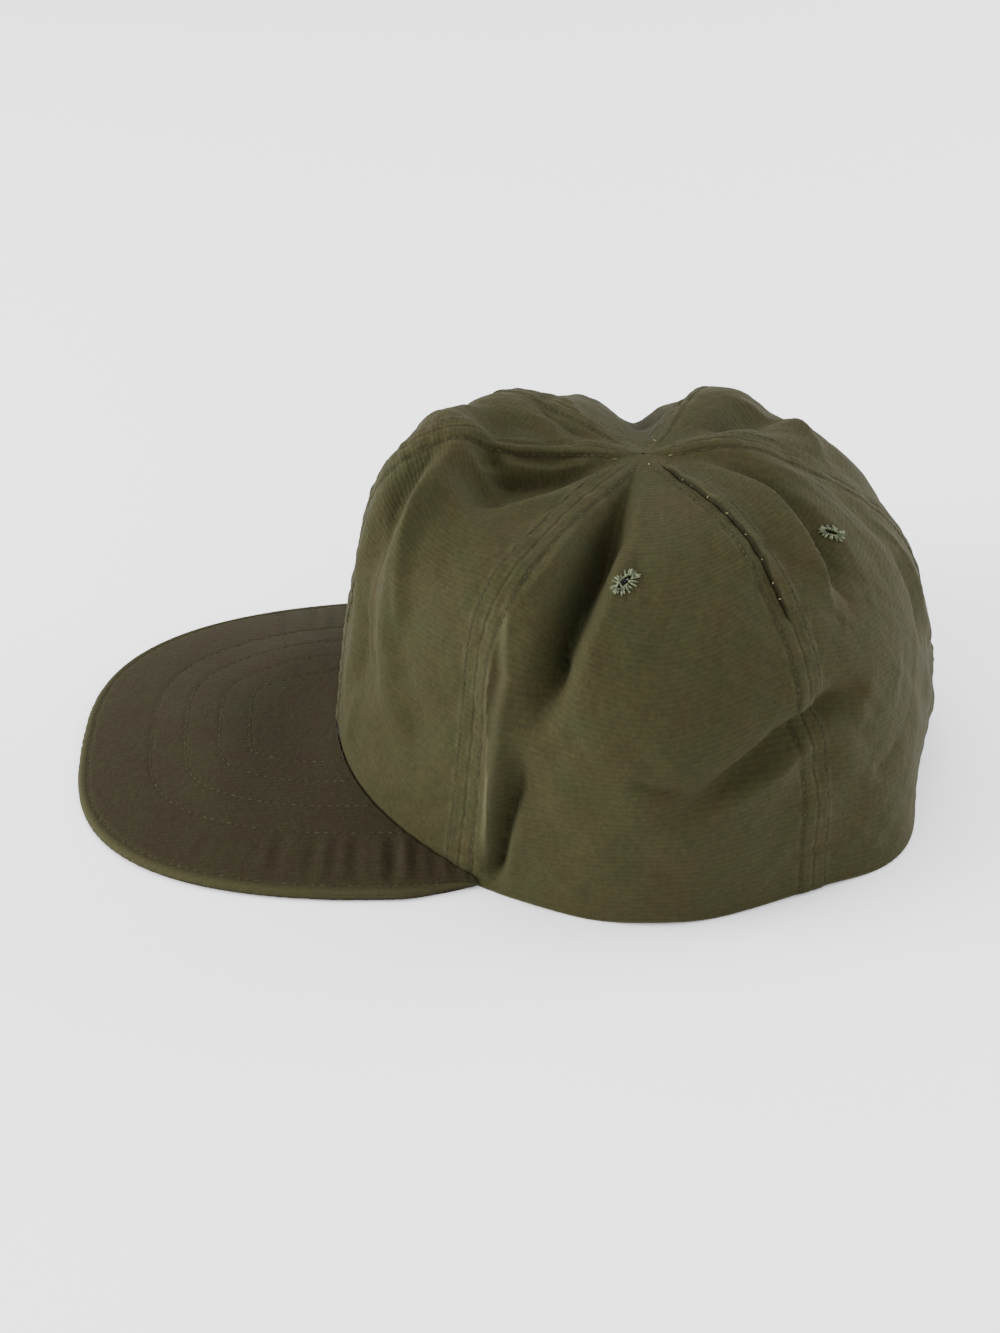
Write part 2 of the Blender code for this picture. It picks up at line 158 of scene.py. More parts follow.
# Folds fade at both ends and at the rim, and narrow towards the apex. They are rounder than creases.
FOLD_STEPS = np.linspace(0, 1, 25)
FOLD_FADE = 0.3
FOLD_RIM_FADE = 0.10
FOLD_FULL_WIDTH_OUT = 0.45
FOLD_LEAST_WIDTH = 0.15
FOLD_REACH = 3
FOLD_ROUNDNESS = 2
CREASE_ROUNDNESS = 1.25

# The cloth is never quite even: it has swells and small lumps, slanted round the crown and drawn out upwards
Swell = namedtuple("Swell", "height length")
SWELLS = [
    Swell(0.0006, 0.030),
    Swell(0.00022, 0.013),
    Swell(0.0001, 0.0062),
]
SWELL_SLANT = 3
SWELL_DRAWN_OUT = 1.4
SWELL_FADE = 0.06
CLOTH_RISE = 0.16
WAVE_STRETCHES = (1, 1.37, 0.71)

# The steps along the crown's surface that its outward direction is measured over
AZIMUTH_STEP = 1.5
UP_STEP = 0.008


def smooth_step(x):
    """From 0 to 1 with flat ends."""
    x = np.clip(x, 0, 1)
    return x * x * (3 - 2 * x)


def smooth_curve(x, knots, values):
    """The value at x of a smooth curve through values at the knots. Each place may have its own values."""
    slopes = np.gradient(values, knots, axis=-1)
    i = np.clip(np.searchsorted(knots, x, side="right") - 1, 0, len(knots) - 2)
    step = knots[i + 1] - knots[i]
    u = (x - knots[i]) / step

    def pick(table, k):
        return table[k] if table.ndim == 1 else np.take_along_axis(table, k[..., None], -1)[..., 0]

    return ((1 + 2 * u) * (1 - u) ** 2 * pick(values, i) + u * (1 - u) ** 2 * step * pick(slopes, i)
            + u * u * (3 - 2 * u) * pick(values, i + 1) + u * u * (u - 1) * step * pick(slopes, i + 1))


def ripple(place, wavelength, seed):
    """An uneven wave along a place in metres, from about -1 to 1."""
    phases = np.random.default_rng(seed).uniform(0, 2 * np.pi, len(WAVE_STRETCHES))
    waves = [np.sin(2 * np.pi * place / (wavelength * stretch) + phase)
             for stretch, phase in zip(WAVE_STRETCHES, phases)]
    return sum(waves) / 2


def section_at(azimuth):
    """The columns of the sections' table at any azimuth, going round the crown."""
    rows = np.array(SECTIONS, float)
    turn = np.zeros_like(rows)
    turn[:, 0] = 360
    rows = np.vstack([rows - turn, rows, rows + turn])
    knots = rows[:, 0]
    return Section(azimuth, *[smooth_curve(azimuth, knots, column) for column in rows[:, 1:].T])


def rim_radius(azimuth):
    """The rim's outer radius at an azimuth."""
    a = np.radians(azimuth)
    along = np.where(np.cos(a) > 0, RIM_FRONT, RIM_BACK)
    across_share = (np.abs(np.sin(a)) / RIM_SIDE) ** RIM_POWER
    along_share = (np.abs(np.cos(a)) / along) ** RIM_POWER
    return (across_share + along_share) ** (-1 / RIM_POWER)


def foot_height(azimuth):
    """The rim lies flat, but rises over the visor's arch at the front."""
    x = rim_radius(azimuth) * np.sin(np.radians(azimuth))
    corner = rim_radius(np.array(VISOR_SPAN)) * np.sin(np.radians(VISOR_SPAN))
    arch = VISOR_RISE * np.clip(1 - (x / corner) ** 2, 0, 1)
    return np.where(np.abs(azimuth) < VISOR_SPAN, arch, 0.0)


def smooth_crown(azimuth, up):
    """A place on the crown's outside before it is folded."""
    azimuth, up = np.broadcast_arrays(np.asarray(azimuth, float), np.asarray(up, float))
    s = section_at(azimuth)
    zero = np.zeros_like(azimuth)
    outs = np.stack([s.foot_out, s.wall_out, s.shoulder_out, s.crest_out, zero], -1)
    foot_up = foot_height(azimuth) / CROWN_HEIGHT
    ups = np.stack([foot_up, s.wall_up, s.shoulder_up, s.crest_up, zero + APEX_UP], -1)
    out = smooth_curve(up, LEVELS, outs)
    radius = rim_radius(azimuth) * out
    a = np.radians(azimuth)
    x = radius * np.sin(a)
    y = -radius * np.cos(a) + APEX_SHIFT * (1 - out)
    return np.stack([x, y, smooth_curve(up, LEVELS, ups) * CROWN_HEIGHT], -1)


def slope_normal(surface, azimuth, up):
    """The outward direction of a surface over azimuth and up, by small steps along it."""
    azimuth, up = np.broadcast_arrays(np.asarray(azimuth, float), np.asarray(up, float))
    higher = surface(azimuth, np.minimum(up + UP_STEP, 1 - UP_STEP))
    lower = surface(azimuth, np.clip(up - UP_STEP, 0, 1 - 2 * UP_STEP))
    level = np.minimum(up, 1 - UP_STEP)
    onward = surface(azimuth + AZIMUTH_STEP, level)
    back = surface(azimuth - AZIMUTH_STEP, level)
    normal = np.cross(onward - back, higher - lower)
    return normal / np.linalg.norm(normal, axis=-1, keepdims=True)


def fold_depth(points, up, folds, roundness):
    """How far the folds push each place inwards. They narrow towards the apex and die out at the rim."""
    total = np.zeros(points.shape[:-1])
    for fold in folds:
        azimuths = fold.azimuth_a + (fold.azimuth_b - fold.azimuth_a) * FOLD_STEPS
        azimuths += fold.pull * 4 * FOLD_STEPS * (1 - FOLD_STEPS)
        ups = fold.up_a + (fold.up_b - fold.up_a) * FOLD_STEPS
        path = smooth_crown(azimuths, np.clip(ups, 0, 1))
        low, high = path.min(0), path.max(0)
        reach = FOLD_REACH * fold.width * CROWN_HEIGHT
        near = ((points > low - reach) & (points < high + reach)).all(-1)
        if not near.any():
            continue
        start, run = path[:-1], np.diff(path, axis=0)
        away = points[near][:, None, :] - start
        share = np.clip((away * run).sum(-1) / np.maximum((run * run).sum(-1), 1e-12), 0, 1)
        distances = np.linalg.norm(away - share[..., None] * run, axis=-1)
        nearest = distances.argmin(-1)[:, None]
        distance = np.take_along_axis(distances, nearest, -1)[:, 0]
        place = (nearest[:, 0] + np.take_along_axis(share, nearest, -1)[:, 0]) / len(run)
        path_out = np.hypot(path[:, 0], path[:, 1] - APEX_SHIFT) / (FOLD_FULL_WIDTH_OUT * RIM_SIDE)
        narrow = np.clip(np.interp(place, FOLD_STEPS, path_out), FOLD_LEAST_WIDTH, 1)
        fade = smooth_step(np.minimum(place, 1 - place) / FOLD_FADE)
        width = fold.width * narrow * CROWN_HEIGHT
        total[near] += fold.depth * narrow * fade * np.exp(-(distance / width) ** roundness)
    return total * CROWN_HEIGHT * smooth_step(up / FOLD_RIM_FADE)


def folded_crown(azimuth, up):
    """A place on the crown's outside, folds and all."""
    points = smooth_crown(azimuth, up)
    inward = -slope_normal(smooth_crown, azimuth, up)
    around = np.radians(azimuth) * RIM_SIDE
    swells = np.zeros(points.shape[:-1])
    for seed, swell in enumerate(SWELLS):
        slanted = ripple(around + up * swell.length / SWELL_SLANT, swell.length, seed)
        upwards = ripple(up * CLOTH_RISE, swell.length * SWELL_DRAWN_OUT, seed + 1)
        swells += swell.height * slanted * upwards
    depth = fold_depth(points, up, FOLDS, FOLD_ROUNDNESS) + fold_depth(points, up, CREASES, CREASE_ROUNDNESS)
    from_middle = np.hypot(points[..., 0], points[..., 1])
    depth = depth + swells * smooth_step(up / FOLD_RIM_FADE) * smooth_step(from_middle / SWELL_FADE)
    return points + inward * depth[..., None]


# The seams: the edges of two gores are turned in and stitched down flat on each side, so each seam is a
# raised band, a little puckered, with a groove along its middle and a row of topstitching near each edge.
# The bands close up near the apex. One seam has lost its first stitches near the top and gapes there.
ROW_OFFSET = 0.0044
BAND_HALF = 0.0056
BAND_EDGE = 0.0012
BAND_HEIGHT = 0.0005
SEAM_GROOVE = 0.00018
GROOVE_WIDTH = 0.0005
ROW_GROOVE = 0.00035
ROW_WIDTH = 0.0006
PUCKER = 0.00022
PUCKER_LENGTH = 0.0068
PUCKER_REACH = 0.008
PUCKER_SEED = 10
APEX_CROWD = 0.007
APEX_BARE = 0.002
APEX_FADE = 0.012
GAPE_DEPTH = 0.0006
GAPE_LAP = 0.0007
GAPE_LAP_WIDTH = 0.004
GAPE_START = 0.05
GAPE_END = 0.04
Seam = namedtuple("Seam", "name azimuth gape_from gape_to")
SEAMS = [
    Seam("front", 0.0, 0, 0),
    Seam("front_left", SEAM_FRONT, 0, 0),
    Seam("back_left", SEAM_BACK, 0.60, 0.97),
    Seam("back", 180.0, 0, 0),
    Seam("front_right", -SEAM_FRONT, 0, 0),
    Seam("back_right", -SEAM_BACK, 0, 0),
]


def seam_distance(azimuth, radius, seam):
    """How far round the crown a place lies from a seam, drawn out near the apex to close the bands up."""
    return np.radians((azimuth - seam.azimuth + 180) % 360 - 180) * (radius + APEX_CROWD)


def bell(distance, width):
    """A bell shape: 1 at no distance, and nearly 0 from twice the width on."""
    return np.exp(-(distance / width) ** 2)


def gape_share(seam, up):
    """How far a seam gapes, from 0 to 1. A seam that is whole gapes nowhere."""
    return smooth_step((up - seam.gape_from) / GAPE_START) * smooth_step((seam.gape_to - up) / GAPE_END)


def off_apex(radius):
    """The share of a seam's marks that is left near the apex, where they run together."""
    return smooth_step((radius - APEX_BARE) / APEX_FADE)


def seam_relief(azimuth, up, radius):
    """How far the seams' bands, grooves and puckers raise the cloth."""
    total = np.zeros_like(radius)
    for number, seam in enumerate(SEAMS):
        signed = seam_distance(azimuth, radius, seam)
        d = np.abs(signed)
        gape = gape_share(seam, up)
        pucker = PUCKER * ripple(up * CLOTH_RISE, PUCKER_LENGTH, PUCKER_SEED + number)
        total += BAND_HEIGHT * smooth_step((BAND_HALF - d) / BAND_EDGE)
        total -= (SEAM_GROOVE + gape * GAPE_DEPTH) * bell(d, GROOVE_WIDTH)
        total -= ROW_GROOVE * bell(d - ROW_OFFSET, ROW_WIDTH)
        total += pucker * bell(d, PUCKER_REACH)
        total += gape * GAPE_LAP * np.sign(signed) * bell(d, GAPE_LAP_WIDTH)
    return total * off_apex(radius)


def crown_radius(points):
    """How far each place stands out from the axis through the apex."""
    return np.hypot(points[..., 0], points[..., 1] - APEX_SHIFT)


def sewn_crown(azimuth, up):
    """A place on the crown's outside with the seams' relief."""
    azimuth, up = np.broadcast_arrays(np.asarray(azimuth, float), np.asarray(up, float))
    points = folded_crown(azimuth, up)
    relief = seam_relief(azimuth, up, crown_radius(smooth_crown(azimuth, up)))
    return points + slope_normal(smooth_crown, azimuth, up) * relief[..., None]


# The gores' cloth: ribbed cotton, dyed olive and washed until it went soft and mottled. Fine ribs run round
# the crown, greener and browner patches drift over it, and worn edges have a dry pale nap. Shade is painted
# into the seams' grooves, and a highlight is painted pale along one standing fold.
RIB_PITCH_MM = 1.5
SLUB_LONG_MM = 3.0
SLUB_FINE_MM = 0.35
PATCH_MM = 11
FLECK_MM = 1.6
WAVE_TURNS = 20


def linear(hex_colour):
    """An sRGB hex colour as the linear colour that a shader takes."""
    shares = [int(hex_colour[i:i + 2], 16) / 255 for i in (1, 3, 5)]
    return (*[s / 12.92 if s <= 0.04045 else ((s + 0.055) / 1.055) ** 2.4 for s in shares], 1)


def add_node(tree, kind, inputs=(), **settings):
    """Adds a node. Its inputs are numbers, colours or other nodes' sockets, by name or place."""
    made = tree.nodes.new(kind)
    for name, value in settings.items():
        setattr(made, name, value)
    for key, value in dict(inputs).items():
        if isinstance(value, bpy.types.NodeSocket):
            tree.links.new(value, made.inputs[key])
        else:
            made.inputs[key].default_value = value
    return made


def new_material(name, roughness):
    """A new material with its node tree and its shader."""
    material = bpy.data.materials.new(name)
    material.use_nodes = True
    shader = material.node_tree.nodes["Principled BSDF"]
    shader.inputs["Roughness"].default_value = roughness
    return material, material.node_tree, shader


def per_metre(millimetres):
    """A texture's scale for a pattern of that size."""
    return 1000 / millimetres


def cotton(name, green, brown, nap, roughness):
    """Ribbed cotton in two drifting shades. Its pale nap shows wear and a painted highlight, and its grooves
    hold painted shade.
    """
    material, tree, shader = new_material(name, roughness)
    where = add_node(tree, "ShaderNodeTexCoord").outputs["Object"]
    cut = add_node(tree, "ShaderNodeUVMap", uv_map="cloth").outputs["UV"]
    patches = add_node(tree, "ShaderNodeTexNoise",
                       {"Vector": where, "Scale": per_metre(PATCH_MM), "Detail": 4.0, "Roughness": 0.62})
    patch_share = add_node(tree, "ShaderNodeMapRange",
                           {"Value": patches.outputs["Fac"], "From Min": 0.38, "From Max": 0.62})
    flecks = add_node(tree, "ShaderNodeTexNoise",
                      {"Vector": where, "Scale": per_metre(FLECK_MM), "Detail": 3.0, "Roughness": 0.7})
    shades = add_node(tree, "ShaderNodeMix",
                      {"Factor": patch_share.outputs["Result"], "A": linear(green), "B": linear(brown)},
                      data_type="RGBA")
    # Each thick rib is one turn of the wave, and its slubs are noise drawn out along the rib
    ribs = add_node(tree, "ShaderNodeTexWave",
                    {"Vector": cut, "Scale": 2 * np.pi / WAVE_TURNS * per_metre(RIB_PITCH_MM),
                     "Distortion": 2.6, "Detail": 2.0, "Detail Scale": 0.5},
                    wave_type="BANDS", bands_direction="Y")
    drawn_out = add_node(tree, "ShaderNodeMapping",
                         {"Vector": cut, "Scale": (per_metre(SLUB_LONG_MM), per_metre(SLUB_FINE_MM), 1)})
    slubs = add_node(tree, "ShaderNodeTexNoise",
                     {"Vector": drawn_out.outputs["Vector"], "Scale": 1.0, "Detail": 2.0})
    thread = add_node(tree, "ShaderNodeMath", {0: ribs.outputs["Fac"], 1: slubs.outputs["Fac"]},
                      operation="ADD")
    # From here the colour is scaled: by the flecks, by the threads, and down in the grooves as painted shade
    fleck_light = add_node(tree, "ShaderNodeMapRange",
                           {"Value": flecks.outputs["Fac"], "From Min": 0.3, "From Max": 0.7,
                            "To Min": 0.82, "To Max": 1.18})
    thread_light = add_node(tree, "ShaderNodeMapRange",
                            {"Value": thread.outputs["Value"], "From Min": 0.4, "From Max": 1.6,
                             "To Min": 0.92, "To Max": 1.07})
    light = add_node(tree, "ShaderNodeMath",
                     {0: fleck_light.outputs["Result"], 1: thread_light.outputs["Result"]},
                     operation="MULTIPLY")
    groove = add_node(tree, "ShaderNodeAttribute", attribute_name="groove").outputs["Fac"]
    # The pale nap is mixed in by a mark that holds both real wear and a painted highlight
    wear_and_highlight = add_node(tree, "ShaderNodeAttribute", attribute_name="wear_and_highlight").outputs["Fac"]
    # Painted shade: the groove mark darkens the cloth down in the grooves of seams and stitch rows
    in_groove = add_node(tree, "ShaderNodeMath", {0: groove, 1: -0.55, 2: 1.0}, operation="MULTIPLY_ADD")
    lit = add_node(tree, "ShaderNodeMath",
                   {0: light.outputs["Value"], 1: in_groove.outputs["Value"]}, operation="MULTIPLY")
    scaled = add_node(tree, "ShaderNodeVectorMath",
                      {0: shades.outputs["Result"], "Scale": lit.outputs["Value"]}, operation="SCALE")
    napped = add_node(tree, "ShaderNodeMix",
                      {"Factor": wear_and_highlight, "A": scaled.outputs["Vector"], "B": linear(nap)}, data_type="RGBA")
    ribbed = add_node(tree, "ShaderNodeBump",
                      {"Height": thread.outputs["Value"], "Strength": 0.45, "Distance": 0.00014})
    fine = add_node(tree, "ShaderNodeBump",
                    {"Height": flecks.outputs["Fac"], "Strength": 0.6, "Distance": 0.0006,
                     "Normal": ribbed.outputs["Normal"]})
    tree.links.new(napped.outputs["Result"], shader.inputs["Base Color"])
    tree.links.new(fine.outputs["Normal"], shader.inputs["Normal"])
    shader.inputs["Specular IOR Level"].default_value = 0.12
    shader.inputs["Sheen Weight"].default_value = 0.07
    shader.inputs["Sheen Roughness"].default_value = 0.45
    shader.inputs["Sheen Tint"].default_value = linear("#83805a")
    return material


crown_cloth = cotton("olive_ribbed_cotton", "#262612", "#292512", "#5c5a42", 0.86)

# The gores themselves, each cut from a flat piece of cloth about as wide as its share of the rim, with its
# edges turned in and stitched. The bottom edge is turned in too, so it is round, and lies a little unevenly.
# The mesh is finer beside the seams.
CLOTH = 0.0012
TURNED_IN = 1.02
GORE_ROWS = 190
GORE_COLUMN = 0.0009
SEAM_CROWDING = 0.62
TIP_UP = 0.998
UPRIGHT_FROM = 0.88
SEAM_GAP = 0.00004
SHARP_ANGLE = np.radians(55)
HEM_ROUND = 0.0012
HEM_WAVE = 0.0006
HEM_WAVE_LENGTH = 0.04
HEM_WAVE_UP = 0.12
HEM_WAVE_START = 8
HEM_SEED = 50

# How much shade is painted into the seams' grooves, how far their edges and the hem have rubbed pale, and
# how bright a highlight is painted along one standing fold
MIDDLE_PAINTED_SHADE = 0.2
ROW_PAINTED_SHADE = 0.45
EDGE_WORN = 0.09
HEM_WORN = 0.2
WEAR_LENGTH = 0.012
WEAR_SEED = 40
FOLD_HIGHLIGHT = 0.3
FOLD_HIGHLIGHT_WIDTH = 0.0012
FOLD_HIGHLIGHT_TOP = 0.66
FOLD_HIGHLIGHT_TOP_FADE = 0.1
FOLD_HIGHLIGHT_FOOT_FADE = 0.3
# The standing fold's distance from the front left seam, at a few shares of the way up
FOLD_EDGE_UPS = (0.0, 0.12, 0.30, 0.50, 0.60)
FOLD_EDGE_DISTANCES = (0.0086, 0.0090, 0.0098, 0.0100, 0.0040)
Gore = namedtuple("Gore", "name azimuth_a azimuth_b")
GORES = [
    Gore("crown_front_left", 0.0, SEAM_FRONT),
    Gore("crown_side_left", SEAM_FRONT, SEAM_BACK),
    Gore("crown_back_left", SEAM_BACK, 180.0),
    Gore("crown_front_right", -SEAM_FRONT, 0.0),
    Gore("crown_side_right", -SEAM_BACK, -SEAM_FRONT),
    Gore("crown_back_right", -180.0, -SEAM_BACK),
]


def grid_normals(places):
    """The outward directions of a grid of places, rows by columns."""
    upward = np.gradient(places, axis=0)
    onward = np.gradient(places, axis=1)
    normal = np.cross(onward, upward)
    return normal / np.maximum(np.linalg.norm(normal, axis=-1, keepdims=True), 1e-12)


def add_object(name, data):
    """A new object in the scene."""
    made = bpy.data.objects.new(name, data)
    bpy.context.scene.collection.objects.link(made)
    return made


def cloth_shell(name, outside, inside, cloth_place, marks, material):
    """A closed sheet of cloth between two grids of places, rows by columns, with its place in the flat cloth
    as its UV map and marks as point attributes."""
    rows, columns = outside.shape[0] - 1, outside.shape[1] - 1
    mesh = bmesh.new()
    bmesh.ops.create_grid(mesh, x_segments=columns, y_segments=rows, size=0.5)
    skin = bmesh.ops.extrude_face_region(mesh, geom=mesh.faces[:], use_keep_orig=True)["geom"]
    top = [part for part in skin if isinstance(part, bmesh.types.BMVert)]
    bmesh.ops.translate(mesh, vec=(0, 0, 1), verts=top)
    bmesh.ops.recalc_face_normals(mesh, faces=mesh.faces[:])
    data = bpy.data.meshes.new(name)
    mesh.to_mesh(data)
    mesh.free()
    flat = np.empty(len(data.vertices) * 3)
    data.vertices.foreach_get("co", flat)
    flat = flat.reshape(-1, 3)
    column = np.rint((flat[:, 0] + 0.5) * columns).astype(int)
    row = np.rint((flat[:, 1] + 0.5) * rows).astype(int)
    skin = flat[:, 2:]
    places = inside[row, column] * (1 - skin) + outside[row, column] * skin
    data.vertices.foreach_set("co", places.ravel())
    corners = np.empty(len(data.loops), int)
    data.loops.foreach_get("vertex_index", corners)
    data.uv_layers.new(name="cloth").data.foreach_set("uv", cloth_place[row, column][corners].ravel())
    for mark, values in marks.items():
        attribute = data.attributes.new(mark, "FLOAT", "POINT")
        attribute.data.foreach_set("value", values[row, column] * skin[:, 0])
    data.update()
    data.shade_smooth()
    data.set_sharp_from_angle(angle=SHARP_ANGLE)
    data.materials.append(material)
    return add_object(name, data)


def painted_shade_wear_and_highlight(azimuth, up, radius):
    """Painted shade in the grooves, and pale wear on the seams' edges plus a painted highlight on one fold,
    from 0 to about 1.
    """
    groove = np.zeros_like(radius)
    wear_and_highlight = np.zeros_like(radius)
    for seam in SEAMS:
        signed = seam_distance(azimuth, radius, seam)
        d = np.abs(signed)
        # Painted shade: dark in each seam's middle groove, darker still where it gapes, and in its rows of
        # stitching
        groove += (MIDDLE_PAINTED_SHADE + gape_share(seam, up)) * bell(d, GROOVE_WIDTH)
        groove += ROW_PAINTED_SHADE * bell(d - ROW_OFFSET, ROW_WIDTH)
        edges = bell(d - GROOVE_WIDTH * 2, GROOVE_WIDTH) + bell(d - BAND_HALF, GROOVE_WIDTH)
        wear_and_highlight += EDGE_WORN * edges * (1 + ripple(up * CLOTH_RISE, WEAR_LENGTH, WEAR_SEED)) / 2
        # A painted highlight, pale along the standing fold beside the front left seam
        if seam.name == "front_left":
            fold_edge = np.interp(up, FOLD_EDGE_UPS, FOLD_EDGE_DISTANCES)
            highlight_share = smooth_step((FOLD_HIGHLIGHT_TOP - up) / FOLD_HIGHLIGHT_TOP_FADE)
            highlight_share *= smooth_step(up / FOLD_HIGHLIGHT_FOOT_FADE)
            wear_and_highlight += FOLD_HIGHLIGHT * highlight_share * bell(signed - fold_edge, FOLD_HIGHLIGHT_WIDTH)
    return groove * off_apex(radius), wear_and_highlight


def gore(panel):
    """One gore, from the rim to the apex, with its half of the seams on both sides. Gives its flat size and
    its area too."""
    wide = np.radians(panel.azimuth_b - panel.azimuth_a) * RIM_SIDE
    columns = round(wide / GORE_COLUMN)
    share = np.linspace(0, 1, columns + 1)
    across = (share - SEAM_CROWDING * np.sin(2 * np.pi * share) / (2 * np.pi))[None, :]
    up = np.linspace(0, TIP_UP, GORE_ROWS + 1)[:, None]
    facing = panel.azimuth_a + (panel.azimuth_b - panel.azimuth_a) * across + 0 * up
    radius = crown_radius(smooth_crown(facing, up))
    azimuth = facing + np.degrees(SEAM_GAP / 2 / radius) * (1 - 2 * across)
    up = up + 0 * azimuth

    # The outside follows the folds and seams, is raised straight up near the apex and turns in at the hem
    form = folded_crown(azimuth, up)
    normal = grid_normals(form)
    upright = smooth_step((up - UPRIGHT_FROM) / (TIP_UP - UPRIGHT_FROM))[..., None]
    normal = normal * (1 - upright) + np.array([0, 0, 1]) * upright
    normal /= np.linalg.norm(normal, axis=-1, keepdims=True)
    outside = form + normal * seam_relief(azimuth, up, radius)[..., None]
    level = normal * np.array([1, 1, 0])
    hem = np.clip(1 - (form[..., 2] - form[:1, :, 2]) / HEM_ROUND, 0, 1)
    outside -= level * ((1 - np.sqrt(1 - hem ** 2)) * CLOTH / 2)[..., None]
    inside = form - (normal * (1 - hem[..., None]) + level * hem[..., None]) * CLOTH

    # The hem lifts off the table here and there, but not where it is sewn to the visor
    lift = HEM_WAVE * (1 + ripple(np.radians(azimuth) * RIM_SIDE, HEM_WAVE_LENGTH, HEM_SEED)) / 2
    lift *= smooth_step(1 - up / HEM_WAVE_UP) * smooth_step((np.abs(azimuth) - VISOR_SPAN) / HEM_WAVE_START)
    outside[..., 2] += lift
    inside[..., 2] += lift

    steps = np.linalg.norm(np.diff(form, axis=0, prepend=form[:1]), axis=-1)
    along = np.cumsum(steps, axis=0)[:, columns // 2][:, None] + 0 * radius
    widths = wide * radius / RIM_SIDE
    cloth_place = np.stack([(across - 0.5) * widths, along], -1)
    # The marks hold painted shade in the grooves, wear on the seams' edges and hem, and a painted highlight
    # on one fold
    groove, wear_and_highlight = painted_shade_wear_and_highlight(azimuth, up, radius)
    marks = {"groove": np.clip(groove, 0, 1), "wear_and_highlight": np.clip(wear_and_highlight + HEM_WORN * hem, 0, 1)}
    made = cloth_shell(panel.name + "_cloth", outside, inside, cloth_place, marks, crown_cloth)
    piece_area = float(widths[:-1, 0] @ np.diff(along[:, 0]))
    return made, (float(wide) * TURNED_IN, float(along[-1, 0])), piece_area


gores = {}
for panel in GORES:
    made, flat, piece_area = gore(panel)
    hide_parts(panel.name)
    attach(made, "root")
    gores[panel.name] = made

# The visor: a board between two layers of the same cotton, darker and browner than the crown's, sewn through
# in rows that follow its edge, and then sewn to the rim. Its cloth is gathered between the two outer rows at
# the corners, its round edge has rubbed pale, and shade is painted dark along its rows.
VISOR_FLARE = 0.0045
VISOR_REACH = 0.077
VISOR_POWER = 2.8
VISOR_THICKNESS = 0.003
VISOR_SLOPE_POWER = 1.2
VISOR_GAP = 0.0003
VISOR_COLUMNS = 300
VISOR_ROWS = 96
ROWS_FROM_EDGE = (0.003, 0.022, 0.0325, 0.043, 0.052)
VISOR_ROW_GROOVE = 0.0002
VISOR_ROW_WIDTH = 0.0006
VISOR_ROW_PAINTED_SHADE = 0.25
VISOR_ROW_WORN = 0.05
VISOR_CROWDING = 1.5
VISOR_PUFF = 0.00025
EDGE_ROUND = 0.0015
EDGE_DROP = 0.93
EDGE_RUBBED = 0.35
EDGE_RUBBED_WIDTH = 0.0022
EDGE_STEPS = 721
BLOCK = 4000
EDGE_FINE_STEPS = 3601
END_TAPER = 0.010
CORNER_PULL = 0.0042
CORNER_REACH = 0.024
GATHER_HEIGHT = 0.0007
GATHER_LENGTH = 0.0084
GATHER_REACH = 0.052
GATHER_SEED = 21
# One row for each soft dip or rise of the visor's top, with its middle, half widths and height
Rise = namedtuple("Rise", "x y half_x half_y height")
VISOR_RISES = [
    Rise(0.004, -0.103, 0.028, 0.015, -0.0021),
    Rise(-0.034, -0.108, 0.020, 0.014, 0.0012),
    Rise(0.020, -0.128, 0.030, 0.012, 0.0008),
    Rise(-0.006, -0.140, 0.016, 0.012, 0.0009),
]


def visor_edge(turn):
    """The visor's outer edge in plan, by turns from -90 to 90 degrees."""
    corner = smooth_crown(np.array(VISOR_SPAN), np.array(0.0))
    half_width = corner[0] + VISOR_FLARE
    reach = RIM_FRONT + VISOR_REACH + corner[1]
    a = np.radians(turn)
    x = half_width * np.sign(a) * np.abs(np.sin(a)) ** (2 / VISOR_POWER)
    y = corner[1] - reach * np.abs(np.cos(a)) ** (2 / VISOR_POWER)
    return np.stack([x, y], -1)


def visor_place(across, outward, skin):
    """A place in the plain visor: across from -1 to 1, outward from the crown to the edge, and skin 0 is the
    underside."""
    azimuth = VISOR_SPAN * across
    root = smooth_crown(azimuth, 0 * azimuth)
    root *= 1 + VISOR_GAP / np.hypot(root[..., 0], root[..., 1])[..., None]
    edge = visor_edge(90 * across)
    x = root[..., 0] + (edge[..., 0] - root[..., 0]) * outward
    y = root[..., 1] + (edge[..., 1] - root[..., 1]) * outward
    z = foot_height(azimuth) * (1 - outward ** VISOR_SLOPE_POWER) + VISOR_THICKNESS * skin
    return np.stack([x, y, z], -1)


def from_edge(points):
    """How far each place lies inside the visor's edge, and how far along it from the nearer corner. Works in
    blocks, to spare memory."""
    edge = visor_edge(np.linspace(-90, 90, EDGE_STEPS))
    length = np.concatenate([[0], np.cumsum(np.linalg.norm(np.diff(edge, axis=0), axis=1))])
    distance = np.empty(len(points))
    along = np.empty(len(points))
    for block in np.array_split(np.arange(len(points)), 1 + len(points) // BLOCK):
        apart = np.linalg.norm(points[block, None, :2] - edge, axis=-1)
        nearest = apart.argmin(1)
        distance[block] = apart.min(1)
        along[block] = np.minimum(length[nearest], length[-1] - length[nearest])
    return distance, along


